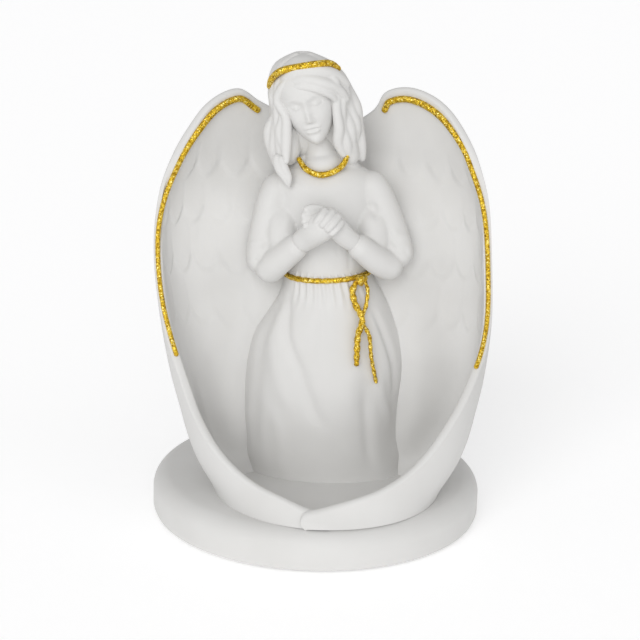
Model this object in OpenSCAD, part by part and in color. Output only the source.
// Angel figurine: a robed figure with clasped hands, held between two wings that close
// into a small well in front of the robe, on a round base.
// Millimetres. The origin is the middle of the felt's lower face, +Z is up, and the figure
// faces -Y. The figure's right side is at -X.

/* [Base] */
// Radius of the round base
base_r = 63; // [60:0.5:70]
// Height of the base's top above the surface it stands on
base_h = 16; // [14:0.5:20]
// Rounding of the base's upper edge
base_round = 6.3; // [3:0.1:6.3]
// Bevel of the base's lower edge
base_bevel = 2.2; // [1:0.1:3]
// Radius of the felt pad
felt_r = 58.5; // [50:0.5:59]
// Thickness of the felt pad
felt_t = 1.5; // [1:0.1:2]
// How far the felt stands out below the base
felt_proud = 0.6; // [0.4:0.1:0.8]

/* [Wings] */
// Thickness of the wing wall
wing_wall = 3.2; // [2.6:0.1:3.6]
// Radius of the ring in which the wings stand on the base
foot_r = 40; // [39:0.5:41]
// How far the foot ring's centre lies in front of the base's centre
foot_front = 17; // [16:0.5:17]
// Depth of the solid filling between the wings' wall and the flat back of the figure
wing_fill = 8.9; // [8:0.1:9]

/* [Joints] */
// Radius of the steel pins
pin_r = 1.6; // [1.2:0.1:2]
// Radius of the cast pegs
peg_r = 2.6; // [2.2:0.1:3]
// Gap all round a pin or peg, for the glue
glue_gap = 0.05; // [0.03:0.01:0.1]

/* [Gold trim] */
// Radius of the line along the edge of each wing
wing_bead_r = 1.1; // [0.8:0.1:1.2]
// Radius of the headband
headband_r = 1.3; // [1:0.1:1.4]
// Radius of the line round the neck
neckline_r = 1.1; // [0.8:0.1:1.2]
// Radius of the rope belt
belt_r = 1.1; // [0.8:0.1:1.2]
// Radius of the belt's short, thick tail
short_tail_r = 1.1; // [0.8:0.1:1.2]
// Radius of the belt's long, thin tail
long_tail_r = 0.8; // [0.6:0.1:1]

/* [Hidden] */

resin = "#dedcd8";
gold = "#d9a92c";
steel = "#a8adb3";
felt = "#6f7178";

round_fn = 64;
// A limb's cone is a little thinner than its balls.
limb_waist = 0.96;

// The waist and the back wall, as heights and depths above the base.
waist_h = 82;
back_y = 21;

// Sections of the skirt and the bodice: height above the base, then the middle's x and y
// and the half width and half depth.
skirt_sections = [
    [0, [3, 0.5, 22.5, 14.5]], [8, [1.2, 0, 27, 16.5]], [26, [0.8, -0.5, 29, 18.5]],
    [44, [1.8, -0.5, 28.9, 18]], [56, [2.3, -0.8, 26, 16.2]], [70, [4, -1, 19.5, 13.6]],
    [waist_h, [2.3, -1, 15.3, 11.8]]];
bodice_sections = [
    [waist_h, [2.3, -1, 15.3, 11.8]], [92, [1.5, -1, 16.2, 12.2]], [104, [0.5, -1, 18.6, 12.6]],
    [113, [0, -1, 20, 12]], [118, [-0.1, -0.8, 18.6, 10.8]], [122, [-0.5, -0.5, 14.6, 9]],
    [125, [-0.8, -0.5, 9.5, 7.4]]];

// The wings' outer surface: height above the base, then the middle's x and the half width.
wing_sections = [
    [0, [4, foot_r]], [8, [4, 47.5]], [18, [4, 52.5]], [30, [3.7, 56]], [44, [3.1, 59.4]],
    [64, [2.1, 62.2]], [89, [0.3, 62.8]], [109, [-0.1, 61.2]], [124, [-0.4, 57.5]],
    [136, [-0.6, 54]], [154, [-1, 50]]];
// Each wing's free edge, from the front tip over the top to the spine: the angle round from
// the front in degrees, and the height above the base.
right_edge = [
    [-2, 4.6], [8, 6], [20, 9.4], [32, 12.6], [43, 17.4], [53, 24.6], [61, 33.6], [66, 46],
    [74, 60], [84, 74], [91, 90], [96, 106], [102, 119], [112, 131], [124, 141], [140, 145.6],
    [152, 140.6], [164, 135], [180, 126]];
left_edge = [
    [-2, 6.8], [12, 9.8], [24, 13], [35, 18], [46, 26], [57, 36.5], [67, 47.5], [76, 57], [84, 70],
    [88, 86], [90, 106], [94, 122], [104, 133], [120, 143], [138, 147.5], [152, 145.4],
    [159.5, 137.6], [180, 126]];
// Where each wing's gold line starts and ends along its edge, as shares of the edge's steps.
right_line = [0.41, 0.89];
left_line = [0.37, 0.91];
// The gold lines lie on the crest of the edge lower down, and go over to the inner face
// further up, starting at this share of their length and taking this much of it.
line_turn = 0.3;
line_turn_length = 0.45;
// How far the gold lines run inside the edge near the spine.
line_inset = 3.6;
edge_columns = 30;
wall_rows = 14;

// Middles of the joints of the arms, at heights above the base.
right_shoulder = [-14.6, -1, 116];
right_elbow = [-21.8, -7, 79.4];
right_wrist = [-7.3, -20, 96.4];
left_shoulder = [15.2, -1, 117.5];
left_elbow = [29, -7, 83];
left_wrist = [9.8, -20, 96.7];
shoulder_r = 6;
elbow_r = 5.6;
cuff_r = 4.3;
wrist_r = 3.5;

// The head: its middle above the base, its radius and its tilt towards the figure's right.
skull = [-6.4, -5, 146.5];
skull_r = 11.6;
head_tilt = 17;
chin_drop = 9.5;
neck_middle = [-0.8, -1, 122];
neck_r = 5.2;
face_opening_r = 11.5;
face_opening_front = 16.5;
// Sections of the hair, from the ends at the back up to the crown.
hair_sections = [
    [112, [-3, 9.7, 8, 1.5]], [118, [-3, 9.8, 13, 1.8]], [124, [-3.4, 8.4, 14.2, 3.6]],
    [131, [-4.2, 4.6, 15.4, 7.4]], [138, [-4.8, 1.2, 15.6, 11]], [147, [-6.2, -0.6, 15.8, 13.6]],
    [154, [-7.4, -1.6, 13.6, 12.6]], [160, [-8.3, -2.4, 9.2, 9]], [163.5, [-8.6, -2.8, 2.6, 2.6]]];

// The headband's path over the hair, and the ring of the line round the neck.
headband_path = [[-21.6, -4, 148.5], [-19, -9.3, 153.4], [-14.8, -12.2, 156.8],
    [-7.4, -14, 158.8], [-2, -13.2, 159.6], [1, -11.2, 159.4], [3.8, -8, 157.3]];
neckline_middle = [-0.2, -2.6, 124.6];
neckline_lean = [36, 2, 0];
neckline_ring_r = 10.4;
// How far a gold bead stands off the surface it is laid on, as a share of its radius.
sunk = 0.8;
belt_h = 80.2;
knot_r = 2;
knot_x = 14.6;
knot_h = 79.6;

peg_len = 6;
wrist_peg_r = 2;
pin_len = 16;
base_pin_x = [-9, 15];
// The figure's back is flat, and two pegs hold it to the wings.
figure_back_y = 7.8;
wing_peg_x = [-6.5, 6.5];
wing_peg_h = 92;
wing_peg_len = 9;

// Moves a sub-part from heights above the base to its place.
module on_base() {
    translate([0, 0, base_h]) children();
}

// Smooth value at x from a table of [x, value] pairs.
function place(t, x, i = 0) = i >= len(t) - 2 || x < t[i + 1][0] ? i : place(t, x, i + 1);
function grade(t, i) = let(a = max(i - 1, 0), b = min(i + 1, len(t) - 1))
    (t[b][1] - t[a][1]) / (t[b][0] - t[a][0]);
function smooth(t, x) = let(i = place(t, x), w = t[i + 1][0] - t[i][0], u = (x - t[i][0]) / w)
    t[i][1] * (1 - u) * (1 - u) * (1 + 2 * u) + t[i + 1][1] * u * u * (3 - 2 * u)
    + grade(t, i) * w * u * (1 - u) * (1 - u) - grade(t, i + 1) * w * u * u * (1 - u);
// The same along a plain list of points, with s from 0 to 1.
function along(pts, s) = smooth([for (i = [0:len(pts) - 1]) [i, pts[i]]], s * (len(pts) - 1));

// A closed solid through rings of points, all with one even count of points.
module loft(rings, closed = false) {
    n = len(rings[0]);
    m = len(rings);
    side = [for (j = [0:closed ? m - 1 : m - 2]) for (i = [0:n - 1])
        let(a = j * n + i, b = j * n + (i + 1) % n, up = (j + 1) % m * n)
        each [[a, up + i, up + (i + 1) % n], [a, up + (i + 1) % n, b]]];
    cap = [for (i = [0:n / 2 - 2])
        each [[i, i + 1, n - 2 - i], [i, n - 2 - i, n - 1 - i]]];
    last = (m - 1) * n;
    caps = closed ? [] : concat(cap, [for (f = cap) [f[2] + last, f[1] + last, f[0] + last]]);
    polyhedron(points = [for (r = rings) each r], faces = concat(side, caps));
}

// A bead along a path; r is its radius, or a list with one radius for each point.
function unit(v) = v / norm(v);
function bead_rings(path, r, n = 6, closed = false) = let(m = len(path)) [for (j = [0:m - 1])
    let(prev = path[closed ? (j + m - 1) % m : max(j - 1, 0)],
        next = path[closed ? (j + 1) % m : min(j + 1, m - 1)],
        d = unit(next - prev), u = unit(cross(d, [0.1, 1, 0.05])), v = cross(d, u))
    [for (i = [0:n - 1]) path[j]
        + (is_list(r) ? r[j] : r) * (cos(360 * i / n) * u + sin(360 * i / n) * v)]];

// A tapering lobe through points of [x, y, height, radius].
module lobe(points, steps = 10, n = 12) {
    stations = [for (j = [0:steps]) along(points, j / steps)];
    loft(bead_rings([for (s = stations) [s[0], s[1], s[2]]], [for (s = stations) s[3]], n));
}

// A limb: a cone with a ball at each end.
module limb(p, q, rp, rq) {
    d = q - p;
    translate(p) {
        sphere(r = rp, $fn = round_fn);
        rotate([0, acos(d[2] / norm(d)), atan2(d[1], d[0])])
            cylinder(r1 = rp * limb_waist, r2 = rq * limb_waist, h = norm(d), $fn = round_fn);
    }
    translate(q) sphere(r = rq, $fn = round_fn);
}

// A straight rod from p towards q.
module rod(p, q, r, h) {
    d = q - p;
    translate(p) rotate([0, acos(d[2] / norm(d)), atan2(d[1], d[0])])
        cylinder(r = r, h = h, $fn = round_fn);
}

module base_disc() {
    z0 = felt_proud;
    color(resin) difference() {
        rotate_extrude($fn = 128) {
            translate([0, z0]) polygon([[0, 0], [base_r - base_bevel, 0],
                [base_r, base_bevel], [0, base_bevel]]);
            translate([0, z0 + base_bevel]) square([base_r, base_h - z0 - base_bevel - base_round]);
            translate([0, base_h - base_round]) square([base_r - base_round, base_round]);
            translate([base_r - base_round, base_h - base_round]) intersection() {
                circle(r = base_round, $fn = round_fn);
                square(base_round);
            }
        }
        translate([0, 0, -1]) cylinder(r = felt_r + 0.2, h = 1 + felt_t, $fn = 128);
        for (x = base_pin_x) translate([x, 0, base_h - pin_len / 2])
            cylinder(r = pin_r + glue_gap, h = pin_len, $fn = round_fn);
    }
}

module felt_pad() {
    color(felt) cylinder(r = felt_r, h = felt_t, $fn = 128);
}

module base_pins() {
    color(steel) for (x = base_pin_x) translate([x, 0, base_h - pin_len / 2])
        cylinder(r = pin_r, h = pin_len, $fn = round_fn);
}

function oval(s, h, n) = [for (i = [0:n - 1])
    [s[0] + s[2] * cos(360 * i / n), s[1] + s[3] * sin(360 * i / n), h]];

module cone_of_cloth(sections, steps) {
    low = sections[0][0];
    high = sections[len(sections) - 1][0];
    loft([for (j = [0:steps]) let(h = low + (high - low) * j / steps)
        oval(smooth(sections, h), h, 36)]);
}

// Cuts the back of the figure flat.
module flat_back() {
    intersection() {
        children();
        translate([-50, figure_back_y - 100, -10]) cube([100, 100, 200]);
    }
}

module wing_peg(x, r) {
    translate([x, figure_back_y - 3, wing_peg_h]) rotate([-90, 0, 0])
        cylinder(r = r, h = wing_peg_len, $fn = round_fn);
}

module robe_skirt() {
    color(resin) on_base() difference() {
        flat_back() cone_of_cloth(skirt_sections, 14);
        for (x = base_pin_x) translate([x, 0, -pin_len / 2])
            cylinder(r = pin_r + glue_gap, h = pin_len, $fn = round_fn);
        translate([2.3, 0, waist_h - peg_len])
            cylinder(r = peg_r + glue_gap, h = peg_len + 1, $fn = round_fn);
    }
}

module bodice_form() {
    cone_of_cloth(bodice_sections, 10);
}

module robe_bodice() {
    color(resin) on_base() {
        difference() {
            flat_back() bodice_form();
            right_sleeve_form();
            left_sleeve_form();
            neck_form(glue_gap);
        }
        for (x = wing_peg_x) wing_peg(x, peg_r);
        translate([2.3, 0, waist_h - peg_len + 0.2])
            cylinder(r = peg_r, h = peg_len + 1, $fn = round_fn);
    }
}

module right_sleeve_form() {
    limb(right_shoulder, right_elbow, shoulder_r, elbow_r);
    limb(right_elbow, right_wrist, elbow_r, cuff_r);
}

module left_sleeve_form() {
    limb(left_shoulder, left_elbow, shoulder_r, elbow_r);
    limb(left_elbow, left_wrist, elbow_r, cuff_r);
}

// Where a hand meets its cuff, and the peg that runs back from there into the sleeve.
function hand_root(wrist, elbow) = wrist + unit(wrist - elbow) * (cuff_r + wrist_r);
module wrist_peg(wrist, elbow, r) {
    rod(hand_root(wrist, elbow), elbow, r, wrist_r + cuff_r + peg_len);
}

module right_sleeve() {
    color(resin) on_base() difference() {
        right_sleeve_form();
        wrist_peg(right_wrist, right_elbow, wrist_peg_r + glue_gap);
    }
}

module left_sleeve() {
    color(resin) on_base() difference() {
        left_sleeve_form();
        wrist_peg(left_wrist, left_elbow, wrist_peg_r + glue_gap);
    }
}

// The right hand lies in front, folded over the left one.
module right_hand() {
    color(resin) on_base() {
        root = hand_root(right_wrist, right_elbow);
        lobe([concat(root, 3.2), [-1.4, -25.4, 103.6, 4.2], [1.4, -26, 106.4, 4.4],
            [4.4, -25.2, 107.6, 3.6], [6.6, -22.8, 106.4, 2.2]]);
        wrist_peg(right_wrist, right_elbow, wrist_peg_r);
    }
}

module left_hand() {
    color(resin) on_base() {
        root = hand_root(left_wrist, left_elbow);
        lobe([concat(root, 3.2), [1.6, -19.4, 103.8, 3.4], [-2, -18.6, 107, 3.3],
            [-5, -20.2, 109.4, 2.8], [-6.6, -23, 109.8, 2]]);
        wrist_peg(left_wrist, left_elbow, wrist_peg_r);
    }
}

// The neck widens where it stands in the bodice, and a peg runs down from it.
module neck_form(gap = 0) {
    translate(neck_middle) {
        translate([0, 0, 1 - peg_len]) cylinder(r = 4 + gap, h = peg_len, $fn = round_fn);
        cylinder(r1 = neck_r + 1, r2 = neck_r, h = 6, $fn = round_fn);
    }
}

module head_form() {
    neck_form();
    limb(neck_middle + [0, 0, 5], skull, neck_r, neck_r + 0.8);
    translate(skull) rotate([-8, -head_tilt, 0]) {
        translate([0, 0, 2]) sphere(r = skull_r, $fn = round_fn);
        limb([0, -1.5, 0], [0, -3.6, -chin_drop], skull_r - 2, skull_r - 7);
    }
}

module head() {
    color(resin) on_base() head_form();
}

// The hair covers the crown, and falls at the back between the bodice and the wings.
module hair() {
    color(resin) on_base() difference() {
        cone_of_cloth(hair_sections, 16);
        head_form();
        translate(skull) rotate([0, -head_tilt, 0])
            translate([0, -face_opening_front, -2 * face_opening_r])
                cylinder(r = face_opening_r, h = 2.4 * face_opening_r, $fn = round_fn);
    }
}

// One lock falls over the right shoulder onto the chest.
module chest_lock() {
    color(resin) on_base() lobe([[-16, -8.6, 125.6, 1.8], [-15.4, -10, 121.5, 2.1],
        [-14, -11.2, 118, 2], [-12.6, -11.9, 114.6, 0.8]], n = 8);
}

// How far the middle of a section at height h lies back, and its half depth to the front.
function middle_y(h) = back_y - 28 - (foot_front - 7) * pow(max(0, (64 - h) / 64), 1.5);
function front_depth(h) = foot_r + 4 * min(1, h / 24);

// Point on a wing's surface: angle from the front, height, distance in from the outside,
// and how much of the filling behind the figure there is, from 0 to 1.
function wing_point(angle, h, depth, fill = 0) =
    let(s = smooth(wing_sections, h), my = middle_y(h), c = cos(angle),
        y = c > 0 ? -(front_depth(h) - depth) * c
            : (back_y - my - depth - wing_fill * fill) * pow(-c, 1 - 0.4 * fill))
    [s[0] + (s[1] - depth) * sin(angle), my + y, h];
function ease(x) = let(t = min(1, max(0, x))) t * t * (3 - 2 * t);
function filling(v) = 1 - ease((v - 0.78) / 0.2);

// One column of the wall, up the outside and down the inside, with a rounded edge.
function wing_ring(side, foot_angle, rim) = let(outside = [for (k = [0:wall_rows])
        let(v = k / wall_rows, a = foot_angle + (rim[0] - foot_angle) * v,
            thin = k == wall_rows ? 0.3 : 0)
        [side * a, rim[1] * v, thin * wing_wall]])
    concat([for (p = outside) wing_point(p[0], p[1], p[2])],
        [for (k = [wall_rows:-1:0]) let(p = outside[k])
            wing_point(p[0], p[1], wing_wall - p[2], filling(k / wall_rows))]);

module wing_form(side, edge) {
    rings = [for (j = [0:edge_columns]) let(s = j / edge_columns, first = edge[0][0])
        wing_ring(side, first + (180 - first) * s, along(edge, s))];
    loft(side > 0 ? rings : [for (r = rings) [for (i = [len(r) - 1:-1:0]) r[i]]]);
}

module wing(side, edge, peg_x) {
    color(resin) on_base() difference() {
        wing_form(side, edge);
        wing_peg(peg_x, peg_r + glue_gap);
    }
}

module right_wing() {
    wing(-1, right_edge, wing_peg_x[0]);
}

module left_wing() {
    wing(1, left_edge, wing_peg_x[1]);
}

// A gold line follows a wing's edge, first on its crest and then on the wall's inner face.
module wing_line(side, edge, span) {
    steps = 44;
    lift = wing_bead_r * sunk;
    path = [for (j = [0:steps]) let(
        t = j / steps, s = span[0] + (span[1] - span[0]) * t,
        over = 2 * ease((t - line_turn) / line_turn_length), turn = 90 * min(1, over),
        inset = line_inset * max(0, over - 1) - lift * cos(turn),
        p = along(edge, s), q = along(edge, s + 0.004), d = [q[0] - p[0], q[1] - p[1]])
        wing_point(side * (p[0] + inset * d[1] / norm(d)), p[1] - inset * d[0] / norm(d),
            wing_wall / 2 + (wing_wall / 2 + lift) * sin(turn))];
    color(gold) on_base() loft(bead_rings(path, wing_bead_r));
}

module right_wing_line() {
    wing_line(-1, right_edge, right_line);
}

module left_wing_line() {
    wing_line(1, left_edge, left_line);
}

// The headband goes over the front of the hair, low on the right and high on the left.
module headband() {
    steps = 24;
    color(gold) on_base() loft(bead_rings([for (j = [0:steps]) along(headband_path, j / steps)],
        headband_r));
}

// The front half of a ring that leans forwards round the neck.
module neckline() {
    color(gold) on_base() translate(neckline_middle) rotate(neckline_lean) difference() {
        rotate_extrude($fn = 96) translate([neckline_ring_r, 0])
            circle(r = neckline_r, $fn = 24);
        translate([-2 * neckline_ring_r, 1, -5]) cube([4 * neckline_ring_r, 30, 10]);
    }
}

module rope_belt() {
    out = belt_r * sunk;
    path = [for (i = [0:39]) let(t = 9 * i, h = belt_h + 0.7 * sin(t) + cos(t),
        s = smooth(skirt_sections, h))
        [s[0] + (s[2] + out) * cos(t), s[1] + (s[3] + out) * sin(t), h]];
    color(gold) on_base() loft(bead_rings(path, belt_r, closed = true), closed = true);
}

// The skirt's front face at x and height h.
function skirt_front(x, h) = let(s = smooth(skirt_sections, h), u = (x - s[0]) / s[2])
    s[1] - s[3] * sqrt(max(0, 1 - u * u));

module belt_knot() {
    color(gold) on_base()
        translate([knot_x, skirt_front(knot_x, knot_h) - belt_r - knot_r * sunk, knot_h])
            sphere(r = knot_r, $fn = round_fn);
}

// A tail hangs on the skirt's front: points of x, height and lift off the cloth.
module belt_tail(points, r) {
    steps = 18;
    path = [for (j = [0:steps]) let(p = along(points, j / steps))
        [p[0], skirt_front(p[0], p[1]) - r * sunk - p[2], p[1]]];
    color(gold) on_base() loft(bead_rings(path, r));
}

module short_tail() {
    belt_tail([[13.6, 78.3, 1.4], [11.6, 74.4, 0.2], [13.4, 70.5, 0.6], [15.8, 66, 1.6],
        [14.6, 59, 0.3], [14.7, 53, 0], [14.8, 48.6, 0]], short_tail_r);
}

module long_tail() {
    belt_tail([[16, 78, 1.4], [17.6, 71.6, 0.2], [16.2, 66, 0], [19.6, 59.5, 0], [20.4, 51, 0],
        [22.6, 40.2, 0]], long_tail_r);
}

base_disc();
felt_pad();
base_pins();
robe_skirt();
robe_bodice();
right_sleeve();
left_sleeve();
right_hand();
left_hand();
head();
hair();
chest_lock();
right_wing();
left_wing();
headband();
neckline();
rope_belt();
belt_knot();
short_tail();
long_tail();
right_wing_line();
left_wing_line();
